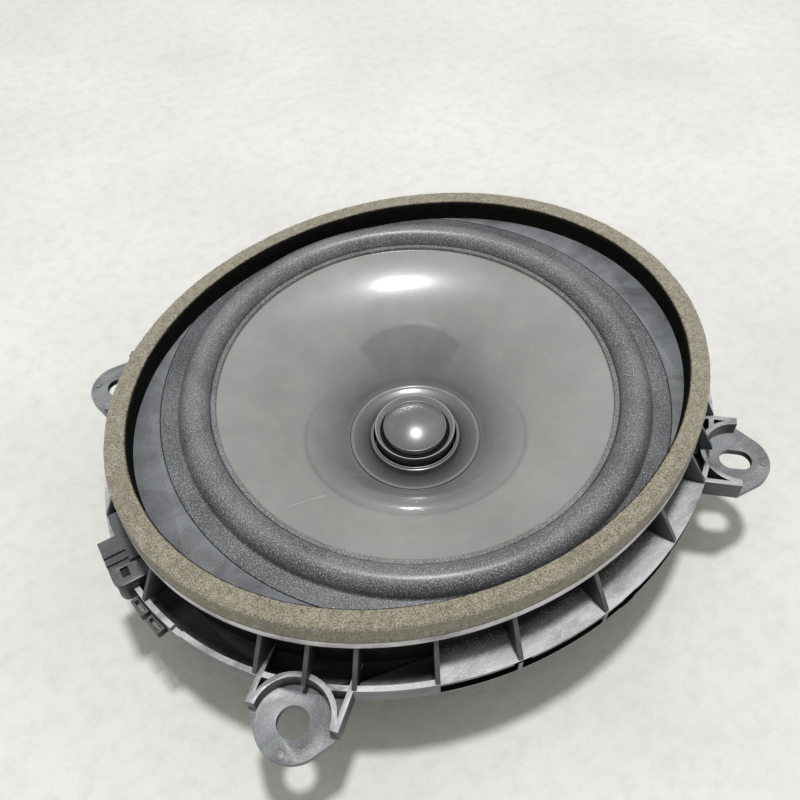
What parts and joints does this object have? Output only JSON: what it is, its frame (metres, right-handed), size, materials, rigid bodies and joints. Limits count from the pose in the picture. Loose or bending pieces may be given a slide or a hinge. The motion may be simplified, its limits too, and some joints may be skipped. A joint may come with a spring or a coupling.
{
  "type": "coaxial door speaker",
  "caption": "Oval-framed coaxial car door speaker: glossy woofer cone with a small dome tweeter on a centre post, foam gasket ring, four mounting ears and a side plug.",
  "frame": {"origin": "middle of the mounting face, on the underside of the four ears", "axes": "+X along the long axis of the oval, away from the plug; +Y along the short axis; +Z out of the front, the way the cone faces"},
  "size_m": [0.2054, 0.174, 0.0624],
  "materials": {
    "frame_plastic": "moulded black, satin, dusty",
    "foam": "open-cell foam, tan grey",
    "surround_rubber": "pebbled matt",
    "cone_film": "glossy grey film over moulded polymer",
    "former_film": "amber film",
    "copper_wire": "enamelled copper winding",
    "spider_cloth": "resin-dipped woven cloth",
    "plated_steel": "zinc plated",
    "ferrite": "sintered ferrite, ground faces",
    "tinned_brass": "tinned",
    "tag_fibre": "pressed fibre board",
    "capacitor_sleeve": "plain shrink sleeve",
    "wire_sleeve": "flexible insulation",
    "tinsel": "braided copper tinsel",
    "post_plastic": "moulded",
    "tweeter_plastic": "moulded, satin, bright edges",
    "dome_film": "glossy grey film dome",
    "magnet_plating": "nickel plated neodymium"
  },
  "bodies": {
    "frame": {"frame_deck": "frame_plastic", "frame_skirt": "frame_plastic", "mounting_rim": "frame_plastic", "rim_ledges": "frame_plastic", "mounting_ears": "frame_plastic", "wire_clips": "frame_plastic", "frame_ribs": "frame_plastic", "basket_ring": "frame_plastic", "basket_arms": "frame_plastic", "basket_seat": "frame_plastic", "foam_gasket": "foam", "surround": "surround_rubber", "spider": "spider_cloth", "top_plate": "plated_steel", "magnet_ring": "ferrite", "yoke": "plated_steel", "motor_rivets": "plated_steel", "plug_shell": "frame_plastic", "plug_pins": "tinned_brass", "tag_board": "tag_fibre", "tag_lugs": "tinned_brass", "capacitor": "capacitor_sleeve", "input_wires": "wire_sleeve", "tinsel_leads": "tinsel", "tweeter_post": "post_plastic", "post_screw": "plated_steel", "tweeter_housing": "tweeter_plastic", "tweeter_bezel": "tweeter_plastic", "tweeter_surround": "surround_rubber", "tweeter_pole_piece": "plated_steel", "tweeter_magnet": "magnet_plating", "tweeter_cup": "plated_steel", "tweeter_leads": "wire_sleeve"},
    "moving_cone": {"cone": "cone_film", "centre_ring": "cone_film", "voice_coil_former": "former_film", "voice_coil": "copper_wire"},
    "moving_dome": {"tweeter_dome": "dome_film", "tweeter_former": "former_film", "tweeter_coil": "copper_wire"}
  },
  "joints": [
    {"name": "cone_travel", "type": "slide", "parent": "frame", "child": "moving_cone", "axis": [0, 0, 1], "range_m": [-0.0035, 0.0035], "stiffness_N_per_m": 1500, "deforming": ["surround", "spider", "tinsel_leads"]},
    {"name": "dome_travel", "type": "slide", "parent": "frame", "child": "moving_dome", "axis": [0, 0, 1], "range_m": [-0.00025, 0.00025], "stiffness_N_per_m": 40, "deforming": ["tweeter_surround"]}
  ]
}
